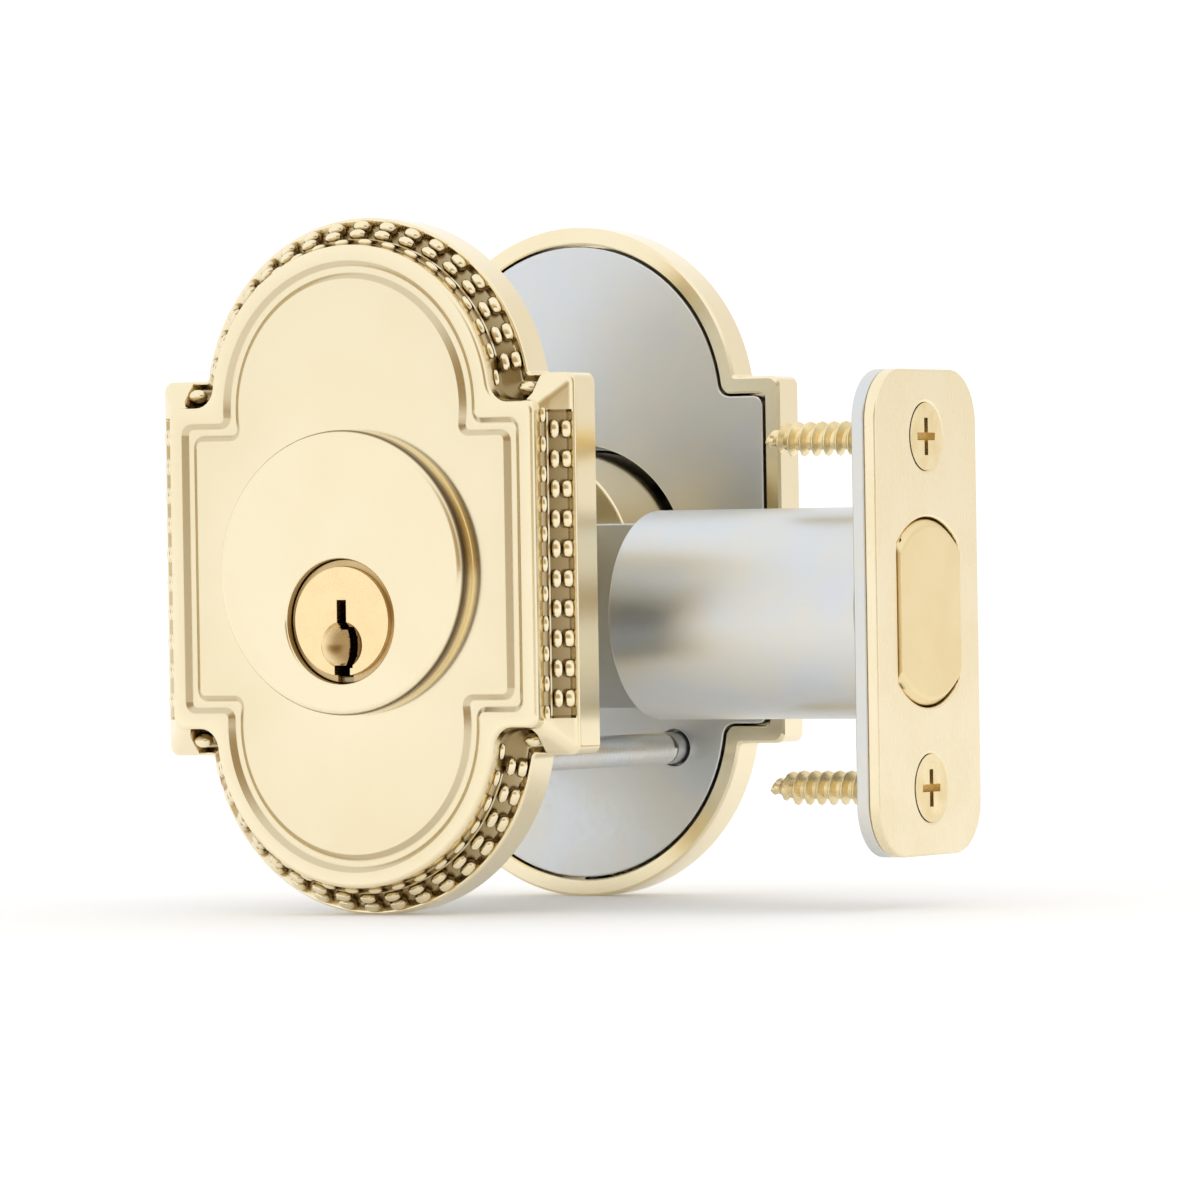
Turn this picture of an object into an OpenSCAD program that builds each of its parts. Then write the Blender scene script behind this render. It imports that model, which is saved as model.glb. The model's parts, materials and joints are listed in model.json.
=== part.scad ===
// Double-cylinder tubular deadbolt, shown as it sits in a door, with the door leaf left out.
// The origin is where the plug and hub axis crosses the door's middle plane.
// +X points to the door's edge and the bolt's tip, -Y to the outside of the door, +Z up.
// Each half is drawn in its own frame: x to the right, y up and z out of the door, from the door's face.

/* [Door] */
// Thickness of the door leaf
door_t = 44.45; // [43:0.05:60]
// Distance from the door's edge to the hub axis
backset = 60.325; // [58:0.5:75]

/* [Escutcheon] */
// Radius of the round lobes of the raised face
lobe_r = 19.25; // [17.5:0.05:24]
// Distance from the plate's middle to each lobe's centre
lobe_c = 18.7; // [16:0.1:24]
// Half the width of the raised face across its ears
ear_w = 25.2; // [22:0.1:32]
// Half the height of the ears of the raised face
ear_h = 19.1; // [17:0.1:22]
// Width of the beaded band between the raised face and the rim
band_w = 3.25; // [2.4:0.05:4.5]
// Depth of the rim that stands on the door
rim_t = 5; // [4.6:0.1:6]
// Height of the raised face above the rim
face_rise = 4.2; // [3.6:0.1:6]
// Thickness of the escutcheon's walls
wall = 2.05; // [1.4:0.05:2.6]
// Radius of the inner corners where a lobe meets an ear
inner_corner_r = 2.5; // [1:0.1:3]
// Radius of the ears' outer corners
ear_corner_r = 1.2; // [0.6:0.1:2]
// Distance from the face's edge to the engraved channel
channel_inset = 2.2; // [1.5:0.1:3]
// Width of the engraved channel
channel_w = 1.45; // [0.8:0.05:2]
// Depth of the engraved channel
channel_depth = 0.5; // [0.2:0.1:0.8]
// Radius of the channel's corners between ear and lobe
channel_corner_r = 1; // [0.6:0.1:1.6]
// Height of the plate's middle above the plug axis
plate_rise = 6.4; // [0:0.1:8]

/* [Cylinder] */
// Width of the collar's lip round the cylinder body
collar_lip = 2.55; // [1.6:0.05:3.6]
// Height of the collar above the raised face
collar_rise = 2.6; // [1.8:0.1:4]
// Radius of the cylinder body behind the collar
housing_r = 14.25; // [13.8:0.05:15]
// Metal below the plug's bore
plug_skin = 2.2; // [1.6:0.1:3]
// Depth of the cylinder body behind the door's face
housing_depth = 12; // [11.8:0.1:12.4]

/* [Plug] */
// Radius of the plug in its bore
plug_r = 6.35; // [6:0.05:6.8]
// Width of the head flange round the plug
head_lip = 0.9; // [0.6:0.05:1.5]
// Width of the key slot
key_w = 1.25; // [1:0.05:1.6]
// Height of the top of the key slot above the plug axis
key_top = 2.5; // [2:0.1:3]
// Radius of the round scoop at the mouth of the key slot
scoop_r = 2.8; // [2:0.1:3.2]
// Depth of the scoop
scoop_depth = 1.6; // [0.8:0.1:1.8]

/* [Pins] */
// Number of pin stacks
pin_count = 5; // [4:1:5]
// Distance between pin stacks
pin_pitch = 3.81; // [3.6:0.01:3.9]
// Distance from the plug's front to the first stack
pin_first = 5.2; // [4.8:0.1:5.6]
// Radius of a pin
pin_r = 1.4; // [1.2:0.05:1.5]
// Length of a driver pin
driver_len = 5.3; // [4.5:0.1:6]
// Lengths of the key pins from the front
key_pin_lens = [4.9, 4.2, 5.2, 3.8, 4.6];

/* [Bolt] */
// Radius of the bolt's round top and bottom
bolt_r = 11; // [9.5:0.1:11.2]
// Thickness of the bolt between its flat sides
bolt_t = 15; // [12:0.1:18]
// Travel of the bolt
throw = 25.4; // [22:0.1:26]
// Wall of the round barrel that fills the edge bore
barrel_wall = 1.4; // [1:0.1:1.5]
// Height of the faceplate
face_h = 57.15; // [54:0.1:65]
// Width of the faceplate
face_w = 25.4; // [25.2:0.1:32]
// Thickness of the faceplate, and of the back plate behind it
face_t = 1.6; // [1.2:0.1:2.5]
// Distance between the faceplate's screws
face_screw_gap = 41.3; // [38:0.1:46]

/* [Case and hub] */
// Radius of the hub's disc
hub_r = 6.5; // [6.2:0.05:6.6]
// Radius of the hub's journals in the case
journal_r = 5.5; // [5.2:0.05:5.8]
// Distance between the insides of the case plates
case_gap = 8; // [7.8:0.1:8.4]
// Thickness of the case plates
case_t = 1; // [0.8:0.1:1.1]
// Height of the case
case_h = 22; // [21:0.1:23]
// Thickness of the crank arm on the hub
arm_t = 3.2; // [2.6:0.1:3.4]
// Radius of the crank pin
crank_pin_r = 2; // [1.6:0.1:2.2]
// Width of a tailpiece's blade
blade_w = 6.4; // [5.6:0.1:7]
// Thickness of a tailpiece's blade
blade_t = 1.6; // [1.2:0.1:2]

/* [Fasteners] */
// Distance between the two through-bolts
through_gap = 26; // [24:0.1:27]
// Height of the through-bolts below the plug axis
through_drop = 16.5; // [16:0.1:17]
// Radius of a through-bolt's shank
through_r = 1.95; // [1.6:0.05:2.2]
// Radius of the threaded posts that take them
post_r = 2.9; // [2.7:0.05:3.2]

/* [Clearances] */
// Radial clearance of turning pieces in their bores
run_clear = 0.05; // [0.02:0.01:0.08]
// Clearance of sliding and assembled pieces
fit_clear = 0.1; // [0.05:0.01:0.15]
// Clearance of pieces that pass each other without touching
pass_clear = 0.4; // [0.3:0.05:0.5]

/* [Hidden] */
$fn = 64;
eps = 0.01;   // overlap of joined shapes and overshoot of cuts

// Levels above the door's face, in the frame of a half
face_z = rim_t + face_rise;              // front of the raised face
inner_z = face_z - wall;                 // inside of the raised face
collar_z = face_z + collar_rise;         // front of the collar
head_depth = 2;                          // depth of the plug head's counterbore
disc_z = collar_z - 0.4;                 // front of the plug's disc
head_z = disc_z - 0.8;                   // front of the plug's head flange
collar_r = housing_r + collar_lip;
housing_rise = housing_r - plug_r - plug_skin;   // height of the cylinder's centre above the plug axis
head_r = plug_r + head_lip;
disc_r = plug_r + 0.1;                   // raised disc on the plug's front
plug_rear_z = -housing_depth - fit_clear;
cap_grip = 1.8;                          // length of the plug's threaded end
cap_pocket = 1.35;                       // room for the tailpiece's disc
cap_floor = 1;
cap_r = plug_r + 1.65;
thread_r = plug_r - 0.45;                // radius of the plug's threaded end
tail_z = plug_rear_z - cap_grip;         // back of the plug's threaded end
cap_rear_z = tail_z - cap_pocket - cap_floor;
disc_tail_r = blade_w / 2 + 1;           // disc of the tailpiece, inside the cap
tail_hole_r = blade_w / 2 + pass_clear;  // hole in the cap that the blade turns in
lug_angle = 88;                          // angle of the cap's lug and of the tailpiece's tab
lug_play = 1;                            // angular play on each side of the lug
shear_z = plug_r + run_clear;            // height of the shear line
cover_y = housing_rise + housing_r - 1.75;   // underside of the chamber cover
cover_w = 2 * (pin_r + run_clear) + 0.6;
chamber_r = pin_r + run_clear;
rear_z = -door_t / 2;                    // door's middle plane, seen from a half

// Plates, posts and screws that hold the halves
plate_t = 2;       // steel plate behind the outside face
nut_t = 2.2;
spigot_r = 1.8;    // riveted end of a post
base_t = 1.6;      // steel plate on the inside face of the door
post_end = -9;     // open end of the threaded posts
grub_r = 1.5;
grub_z = 2.7;
plate_bottom = plate_rise - lobe_c - lobe_r - band_w;   // lowest point of an escutcheon

// Places along the bolt
face_front = backset;
back_front = face_front - face_t;
barrel_front = back_front - face_t;
barrel_r = bolt_r + fit_clear + barrel_wall;
face_head_r = 4;                         // head of a faceplate screw
face_shank_r = 2;
wall_t = 1.4;                            // back wall of the barrel
barrel_rear = 24;                        // clear of the hub and the crank
bolt_tip = face_front + 0.4;
bolt_rear = barrel_rear + wall_t + pass_clear;
case_rear = -throw / 2 - 4.3;
half_gap = case_gap / 2;
crank_r = throw / 2 / sin(45);           // crank that gives the throw over a quarter turn
slot_play = crank_r * sin(25.8) - throw / 90 * 25.8;   // most that the crank leads or lags the bolt
cheek_in = arm_t / 2 + pass_clear;       // inside of the slide's cheeks
cheek_out = half_gap - pass_clear - 0.2;
slot_r = crank_pin_r + slot_play + fit_clear;
lobe_wall = 2.2;                         // metal round the slide's slot
neck_low = hub_r + pass_clear;
neck_high = sqrt(pow(bolt_r + fit_clear, 2) - pow(cheek_out, 2)) - fit_clear;
tongue_len = 7;                          // part of the slide inside the bolt
pin_x = bolt_rear + tongue_len / 2;      // pins that hold the tongue
rod_start = bolt_rear + tongue_len + 1.2;
tongue_t = 4;
rod_r = 3;
rod_end_gap = 4;     // solid metal in front of the rod
slide_pin_z = [-1.5, 4.5];
slide_pin_r = 1.2;
rivet_x = throw / 2 + 1.3;
rivet_z = [-8, 4.5];
rivet_r = 1.5;

// ---------- frames ----------

// Puts a half's frame on the outside face of the door
module outside_half() translate([0, -door_t / 2, 0]) rotate([90, 0, 0]) children();

// Puts a half's frame on the inside face of the door
module inside_half() rotate([0, 0, 180]) outside_half() children();

// Stands the z axis along the bolt
module along_x() rotate([0, 90, 0]) children();

// Stands the z axis along the hub
module along_y() rotate([-90, 0, 0]) children();

// ---------- shapes ----------

module rounded_rect(w, h, r) {
    square([w - 2 * r, h], center = true);
    square([w, h - 2 * r], center = true);
    for (sx = [-1, 1], sy = [-1, 1])
        translate([sx * (w / 2 - r), sy * (h / 2 - r)]) circle(r = r);
}

// Part of a ring from angle start over sweep degrees, under 180
module ring_sector(r_in, r_out, start, sweep) {
    far = 2 * r_out;
    intersection() {
        difference() {
            circle(r = r_out);
            circle(r = r_in);
        }
        polygon([[0, 0], far * [cos(start), sin(start)],
            far * [cos(start + sweep / 2), sin(start + sweep / 2)],
            far * [cos(start + sweep), sin(start + sweep)]]);
    }
}

// Points along an arc of n steps
function arc(centre, r, from, to, n) =
    [for (i = [0:n]) let (a = from + (to - from) * i / n) centre + r * [cos(a), sin(a)]];
function flipped(points, sx, sy) = [for (p = points) [sx * p[0], sy * p[1]]];
function but_last(points) = [for (i = [0:len(points) - 2]) points[i]];
function backwards(points) = [for (i = [len(points) - 2:-1:0]) points[i]];

// Fillet between ear and lobe on the outline grown by off, no larger than the ear's straight edge allows
function root_fillet(off) =
    let (r = lobe_r + off, straight = ear_w + off - ear_corner_r, rise = ear_h + off - lobe_c,
        room = (pow(straight, 2) - pow(r, 2) + pow(rise, 2)) / (2 * (r - rise)))
    min(max(inner_corner_r - off, 0.6), room);

// A quarter of the plate's outline, from the ear's corner to the top of the lobe,
// grown by off from the raised face's edge, with fillet f between ear and lobe
function quarter_outline(off, f) =
    let (r = lobe_r + off, w = ear_w + off, h = ear_h + off,
        x = sqrt(pow(r + f, 2) - pow(h + f - lobe_c, 2)),
        lean = atan2(h + f - lobe_c, x))
    concat(arc([w, h] - [1, 1] * ear_corner_r, ear_corner_r, 0, 90, 3),
        but_last(arc([x, h + f], f, -90, lean - 180, 4)),
        arc([0, lobe_c], r, lean, 90, 20));

module plate_outline(off, f) {
    q = quarter_outline(off, f);
    translate([0, plate_rise]) polygon(concat(q, backwards(flipped(q, -1, 1)),
        flipped(q, -1, -1), backwards(flipped(q, 1, -1))));
}

module plate_slab(off, low, high) {
    translate([0, 0, low]) linear_extrude(height = high - low) plate_outline(off, root_fillet(off));
}

// Round bar of radius r from low to high
module bar(r, low, high) {
    translate([0, 0, low]) cylinder(r = r, h = high - low);
}

// Rectangular hole or blade between two levels
module flat_bar(w, h, low, high) {
    translate([-w / 2, -h / 2, low]) cube([w, h, high - low]);
}

// Helical wire as one closed tube
module helix(r_coil, r_wire, height, turns) {
    around = 10;
    sides = 5;
    steps = around * turns;
    function ring_point(i, k) = let (a = 360 * i / around, b = 360 * k / sides, r = r_coil + r_wire * cos(b))
        [r * cos(a), r * sin(a), r_wire + (height - 2 * r_wire) * i / steps + r_wire * sin(b)];
    points = [for (i = [0:steps], k = [0:sides - 1]) ring_point(i, k)];
    skin = [for (i = [0:steps - 1], k = [0:sides - 1], half = [0, 1])
        let (n = (k + 1) % sides, here = i * sides, next = (i + 1) * sides)
        half == 0 ? [here + k, here + n, next + n] : [here + k, next + n, next + k]];
    start_cap = [for (k = [1:sides - 2]) [0, k + 1, k]];
    end_cap = [for (k = [1:sides - 2]) [steps * sides, steps * sides + k, steps * sides + k + 1]];
    polyhedron(points = points, faces = concat(skin, start_cap, end_cap));
}

// Cross recess of a screw head, its floor at depth below z = 0
module cross_recess(r, depth) {
    for (a = [0, 90]) rotate([0, 0, a]) flat_bar(0.9, 2 * r, -depth, eps);
}

// ---------- one half ----------

module channel_cut() {
    translate([0, 0, face_z - channel_depth]) linear_extrude(height = channel_depth + eps) difference() {
        plate_outline(-channel_inset, channel_corner_r);
        plate_outline(-channel_inset - channel_w, channel_corner_r);
    }
}

module escutcheon() {
    step_z = rim_t + face_rise / 2;
    difference() {
        union() {
            plate_slab(band_w, 0, rim_t);
            plate_slab(band_w * 0.6, rim_t - eps, step_z);
            plate_slab(0, step_z - eps, face_z);
        }
        plate_slab(band_w - wall, -eps, rim_t - wall + 1.6);
        plate_slab(-wall + 0.25, rim_t - wall + 1.6 - eps, inner_z);
        translate([0, housing_rise, 0]) bar(housing_r + fit_clear, inner_z - eps, face_z + eps);
        channel_cut();
    }
}

module pin_places() {
    for (i = [0:pin_count - 1]) {
        translate([0, 0, disc_z - pin_first - i * pin_pitch]) rotate([-90, 0, 0]) {
            $stack = i;
            children();
        }
    }
}

module cylinder_body() {
    rim = 0.5;   // chamfer of the collar's front edge
    difference() {
        translate([0, housing_rise, 0]) union() {
            bar(housing_r, -housing_depth, face_z + rim);
            rotate_extrude() polygon([[0, face_z], [collar_r, face_z],
                [collar_r, collar_z - rim], [collar_r - rim, collar_z], [0, collar_z]]);
        }
        bar(plug_r + run_clear, -housing_depth - eps, collar_z + eps);
        bar(head_r + fit_clear, collar_z - head_depth, collar_z + eps);
        pin_places() bar(chamber_r, plug_r / 2, cover_y + 1);
        translate([-cover_w / 2, cover_y, -housing_depth - eps])
            cube([cover_w, 4, housing_depth + inner_z - fit_clear]);
    }
}

module chamber_cover() {
    intersection() {
        translate([-cover_w / 2 + run_clear, cover_y, -housing_depth])
            cube([cover_w - 2 * run_clear, 4, housing_depth + inner_z - 3 * fit_clear]);
        translate([0, housing_rise, 0]) bar(housing_r, -housing_depth - 1, face_z);
    }
}

// Stepped slot that a key enters, down to the plug's bottom edge
module key_slot_outline() {
    step = 0.64 * key_w;      // sideways step of the middle ward
    middle_top = -0.7;
    foot_top = -5.2;
    foot_w = 1.68 * key_w;
    translate([-key_w / 2, middle_top - 0.3]) square([key_w, key_top - middle_top + 0.3]);
    translate([-key_w / 2 + step, foot_top - 0.3]) square([key_w, middle_top - foot_top + 0.3]);
    translate([-foot_w / 2, -plug_r - 1]) square([foot_w, foot_top + plug_r + 1]);
}

module plug() {
    scoop_sphere = (pow(scoop_r, 2) + pow(scoop_depth, 2)) / (2 * scoop_depth);
    scoop_lift = scoop_sphere - scoop_depth;
    difference() {
        union() {
            bar(plug_r, plug_rear_z, head_z);
            bar(head_r, collar_z - head_depth + fit_clear, head_z);
            bar(disc_r, head_z - eps, disc_z);
            bar(thread_r, tail_z, plug_rear_z + eps);
        }
        translate([0, 0, -housing_depth + 1])
            linear_extrude(height = housing_depth + disc_z) key_slot_outline();
        pin_places() bar(chamber_r, 0.6, plug_r + 1);
        translate([0, -scoop_r, disc_z + scoop_lift]) sphere(r = scoop_sphere);
        translate([0, 0, plug_rear_z - cap_grip / 2]) rotate([-90, 0, 0])
            bar(0.6 + run_clear, thread_r - 1.6, plug_r + 1);
    }
}

// Key pins: flat top under the shear line, cone below
module key_pins() {
    top = sqrt(pow(plug_r, 2) - pow(pin_r, 2)) - run_clear;
    tip = 0.8;
    pin_places() {
        low = plug_r - key_pin_lens[$stack];
        rotate_extrude() polygon([[0, low], [pin_r - tip, low], [pin_r, low + tip], [pin_r, top], [0, top]]);
    }
}

// Driver pins, spool shaped
module driver_pins() {
    waist = pin_r - 0.3;
    land = 1.3;
    low = shear_z;
    high = shear_z + driver_len;
    pin_places() rotate_extrude() polygon([[0, low], [pin_r, low], [pin_r, low + land],
        [waist, low + land + 0.3], [waist, high - land - 0.3], [pin_r, high - land], [pin_r, high], [0, high]]);
}

module pin_springs() {
    low = shear_z + driver_len + run_clear;
    high = cover_y - run_clear;
    pin_places() translate([0, 0, low]) helix(pin_r - 0.35, 0.2, high - low, 4);
}

module plug_cap() {
    pocket_top = tail_z - run_clear;
    difference() {
        bar(cap_r, cap_rear_z, plug_rear_z - run_clear);
        bar(thread_r + run_clear, pocket_top - cap_pocket, plug_rear_z);
        bar(tail_hole_r, cap_rear_z - eps, plug_rear_z);
        translate([0, 0, plug_rear_z - cap_grip / 2]) rotate([-90, 0, 0]) bar(0.6 + run_clear, 1, cap_r + 1);
    }
    translate([0, 0, pocket_top - cap_pocket - eps]) linear_extrude(height = cap_pocket + eps)
        ring_sector(disc_tail_r + fit_clear, thread_r + run_clear + eps, 90 + lug_play, lug_angle);
}

module cap_pin() {
    translate([0, 0, plug_rear_z - cap_grip / 2]) rotate([-90, 0, 0]) bar(0.6, thread_r - 1.5, cap_r);
}

// Tailpiece: disc and tab held in the cap, blade that reaches the hub
module tailpiece() {
    disc_low = tail_z - cap_pocket + fit_clear;
    disc_high = tail_z - fit_clear;
    translate([0, 0, disc_low]) linear_extrude(height = disc_high - disc_low) {
        circle(r = disc_tail_r);
        ring_sector(disc_tail_r - 1, thread_r - fit_clear, lug_play, lug_angle);
    }
    flat_bar(blade_t, blade_w, rear_z + 0.4, disc_low + eps);
}

// Ring nut with four spanner notches
module ring_nut(low, high) {
    notch = 3;
    translate([0, housing_rise, 0]) difference() {
        bar(collar_r - 0.3, low, high);
        bar(housing_r + run_clear, low - eps, high + eps);
        for (a = [45:90:315]) rotate([0, 0, a]) translate([collar_r, 0, 0])
            flat_bar(notch, notch, low - eps, high + eps);
    }
}

module through_places() {
    for (sx = [-1, 1]) translate([sx * through_gap / 2, -through_drop, 0]) children();
}

// ---------- fixing ----------

module mounting_plate_shape() {
    low = inner_z - plate_t;
    difference() {
        plate_slab(-wall - fit_clear, low, inner_z);
        translate([0, housing_rise, 0]) bar(housing_r + fit_clear, low - eps, inner_z + eps);
        through_places() bar(spigot_r + run_clear, low - eps, inner_z + eps);
    }
}

module mounting_post_shape() {
    shoulder = inner_z - plate_t;
    through_places() difference() {
        union() {
            bar(post_r, post_end, shoulder);
            bar(spigot_r, shoulder - eps, inner_z - 0.2);
        }
        bar(through_r + run_clear, post_end - eps, 1);
    }
}

module base_plate_shape() {
    edge = plate_bottom + wall;
    difference() {
        union() {
            plate_slab(band_w - wall - 3 * fit_clear, 0, base_t);
            translate([-4, edge + 3 * fit_clear + 0.3, 0]) cube([8, 1.5, rim_t - wall + 1]);
        }
        translate([0, housing_rise, 0]) bar(housing_r + 0.8, -eps, base_t + eps);
        through_places() bar(through_r + 0.25, -eps, base_t + eps);
    }
}

module grub_place() {
    translate([0, plate_bottom, grub_z]) rotate([-90, 0, 0]) children();
}

// Set screw: hexagon socket, cone point on the base plate's tab
module grub_shape() {
    tip = wall + 3 * fit_clear + 0.3 - run_clear;
    difference() {
        rotate_extrude() polygon([[0, 0.3], [grub_r, 0.3], [grub_r, tip - 0.8], [grub_r - 0.8, tip], [0, tip]]);
        translate([0, 0, 0.3 - eps]) cylinder(r = 0.85, h = 1.3, $fn = 6);
    }
}

// Through-bolts: pan heads on the base plate, threaded ends in the posts
module through_bolt_shape() {
    head_r = 3.7;
    head_t = 1.8;
    reach = -door_t - 1 + fit_clear * 5;
    through_places() difference() {
        union() {
            bar(through_r, reach, base_t + eps);
            translate([0, 0, base_t]) rotate_extrude() polygon([[0, 0], [head_r, 0], [head_r, head_t * 0.5],
                [head_r - 0.9, head_t], [0, head_t]]);
        }
        translate([0, 0, base_t + head_t]) cross_recess(1.8, 1.1);
    }
}

// ---------- bolt unit ----------

// Section of the bolt across its travel, grown by off
module bolt_section(off) {
    intersection() {
        circle(r = bolt_r + off, $fn = 96);
        square([2 * (bolt_r + off) + 1, bolt_t + 2 * off], center = true);
    }
}

module edge_plate(low, high, window, hole_r) {
    corner = 6.35;
    along_x() translate([0, 0, low]) linear_extrude(height = high - low) difference() {
        rounded_rect(face_h, face_w, corner);
        bolt_section(window);
        for (s = [-1, 1]) translate([s * face_screw_gap / 2, 0]) circle(r = hole_r);
    }
}

// Countersink for a faceplate screw, its mouth at z = 0
module countersink(r, grow) {
    translate([0, 0, -r - grow]) cylinder(r1 = 0, r2 = r + grow, h = r + grow);
}

module faceplate_shape() {
    difference() {
        edge_plate(back_front, face_front, 2 * fit_clear, face_shank_r + 2 * fit_clear);
        along_x() for (s = [-1, 1]) translate([s * face_screw_gap / 2, 0, face_front + eps])
            countersink(face_head_r, fit_clear);
    }
}

// Wood screws: flat heads in the countersinks, ringed thread and a point
module faceplate_screw_shape() {
    core = 1.35;
    ridge = 0.55;
    pitch = 1.6;
    thread_top = -6;
    rings = 8;
    along_x() for (s = [-1, 1]) translate([s * face_screw_gap / 2, 0, face_front]) difference() {
        rotate_extrude() polygon(concat([[0, 0], [face_head_r, 0],
            [face_shank_r, face_shank_r - face_head_r], [face_shank_r, thread_top]],
            [for (i = [0:rings - 1], k = [0:1]) [core + (1 - k) * ridge, thread_top - (i + k / 2) * pitch]],
            [[core, thread_top - rings * pitch], [0, thread_top - rings * pitch - 3]]));
        cross_recess(2.2, 1.6);
    }
}

// Barrel: round tube with a back wall that the slide passes through
module barrel_shape() {
    along_x() difference() {
        bar(barrel_r, barrel_rear, barrel_front);
        bar(bolt_r + fit_clear, barrel_rear + wall_t, barrel_front + eps);
        translate([-neck_high - 2 * fit_clear, -cheek_out - 2 * fit_clear, barrel_rear - eps])
            cube([neck_high + 4 + 4 * fit_clear, 2 * cheek_out + 4 * fit_clear, wall_t + 2 * eps]);
    }
}

module bolt_shape() {
    chamfer = 0.8;
    difference() {
        along_x() intersection() {
            translate([0, 0, bolt_rear]) linear_extrude(height = bolt_tip - bolt_rear) bolt_section(0);
            rotate_extrude() polygon([[0, bolt_rear], [bolt_r + 1, bolt_rear], [bolt_r + 1, bolt_tip - chamfer - 1],
                [bolt_r - chamfer, bolt_tip], [0, bolt_tip]]);
        }
        along_x() bar(rod_r + fit_clear, rod_start, bolt_tip - rod_end_gap);
        translate([bolt_rear - eps, -tongue_t / 2 - run_clear, -3 - run_clear])
            cube([tongue_len + fit_clear + eps, tongue_t + 2 * run_clear, 9 + 2 * run_clear]);
        for (z = slide_pin_z) translate([pin_x, 0, z]) along_y() bar(slide_pin_r + run_clear, -bolt_t, bolt_t);
    }
}

// Slide: two cheeks with the crank slot, a block in front and a tongue in the bolt
module slide_shape() {
    lobe_x = -throw / 2;
    lobe_out = slot_r + lobe_wall;
    block_rear = 17;
    difference() {
        union() {
            for (s = [0, 1]) mirror([0, s, 0]) translate([0, cheek_in, 0]) {
                thick = cheek_out - cheek_in;
                translate([lobe_x, 0, crank_r]) along_y() cylinder(r = lobe_out, h = thick);
                translate([lobe_x - lobe_out, 0, neck_low]) cube([2 * lobe_out, thick, crank_r - neck_low]);
                translate([lobe_x, 0, neck_low]) cube([block_rear - lobe_x + eps, thick, neck_high - neck_low]);
            }
            translate([block_rear, -cheek_out, -4]) cube([bolt_rear - block_rear, 2 * cheek_out, neck_high + 4]);
            translate([bolt_rear - eps, -tongue_t / 2, -3]) cube([tongue_len, tongue_t, 9]);
        }
        translate([lobe_x, 0, throw / 2]) along_y() bar(slot_r, -half_gap, half_gap);
        translate([lobe_x, 0, crank_r]) along_y() bar(slot_r, -half_gap, half_gap);
        translate([lobe_x - slot_r, -half_gap, throw / 2]) cube([2 * slot_r, case_gap, crank_r - throw / 2]);
        for (z = slide_pin_z) translate([pin_x, 0, z]) along_y() bar(slide_pin_r + run_clear, -bolt_t, bolt_t);
    }
}

module hub_shape() {
    disc_half = half_gap - 0.5;
    arm_w = 6;
    difference() {
        union() {
            along_y() bar(hub_r, -disc_half, disc_half);
            along_y() bar(journal_r, -half_gap - case_t, half_gap + case_t);
            rotate([0, -45, 0]) {
                translate([-arm_w / 2, -arm_t / 2, 0]) cube([arm_w, arm_t, crank_r]);
                translate([0, -arm_t / 2, crank_r]) along_y() cylinder(r = arm_w / 2 + 0.3, h = arm_t);
            }
        }
        rotate([90, 0, 0]) flat_bar(blade_t + 2 * fit_clear, blade_w + 2 * fit_clear, -20, 20);
        rotate([0, -45, 0]) translate([0, 0, crank_r]) along_y() bar(crank_pin_r + run_clear, -10, 10);
    }
}

module crank_pin_shape() {
    rotate([0, -45, 0]) translate([0, 0, crank_r]) along_y() bar(crank_pin_r, -cheek_out, cheek_out);
}

module hub_bush_shape() {
    for (s = [0, 1]) mirror([0, s, 0]) translate([0, half_gap - 0.45, 0]) along_y() difference() {
        cylinder(r = hub_r, h = 0.4);
        translate([0, 0, -eps]) cylinder(r = journal_r + run_clear, h = 0.4 + 2 * eps);
    }
}

module case_plate() {
    difference() {
        translate([case_rear, half_gap, -case_h / 2]) cube([barrel_rear - case_rear, case_t, case_h]);
        translate([0, half_gap - 1, 0]) along_y() cylinder(r = journal_r + run_clear, h = case_t + 2);
        for (sx = [-1, 1], z = rivet_z) translate([sx * rivet_x, half_gap - 1, z]) along_y()
            cylinder(r = rivet_r - 0.4 + run_clear, h = case_t + 2);
    }
}

// Case: the outside plate with a web under the mechanism
module case_channel_shape() {
    mirror([0, 1, 0]) case_plate();
    translate([case_rear, -half_gap - eps, -case_h / 2])
        cube([barrel_rear - case_rear, case_gap + eps - fit_clear, 1.1]);
}

module case_rivet_shape() {
    for (sx = [-1, 1], z = rivet_z) translate([sx * rivet_x, 0, z]) {
        along_y() bar(rivet_r, -half_gap, half_gap);
        along_y() bar(rivet_r - 0.4, -half_gap - case_t - 0.4, half_gap + case_t + 0.4);
        for (s = [0, 1]) mirror([0, s, 0]) translate([0, half_gap + case_t, 0])
            along_y() cylinder(r1 = rivet_r + 0.6, r2 = rivet_r, h = 0.4);
    }
}

// ---------- nodes ----------

brass = "#e8d49c";
gold = "#e3bd6a";
steel = "#a9adb2";
zinc = "#c2c4c2";

module outside_escutcheon() { color(brass) outside_half() escutcheon(); }
module outside_cylinder() { color(brass) outside_half() cylinder_body(); }
module outside_plug() { color(gold) outside_half() plug(); }
module outside_key_pins() { color(gold) outside_half() key_pins(); }
module outside_driver_pins() { color(steel) outside_half() driver_pins(); }
module outside_pin_springs() { color(steel) outside_half() pin_springs(); }
module outside_chamber_cover() { color(gold) outside_half() chamber_cover(); }
module outside_plug_cap() { color(gold) outside_half() plug_cap(); }
module outside_cap_pin() { color(steel) outside_half() cap_pin(); }
module outside_tailpiece() { color(zinc) outside_half() tailpiece(); }
module outside_ring_nut() { color(zinc) outside_half() ring_nut(inner_z - plate_t - nut_t, inner_z - plate_t); }
module mounting_plate() { color(zinc) outside_half() mounting_plate_shape(); }
module mounting_posts() { color(zinc) outside_half() mounting_post_shape(); }

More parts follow.
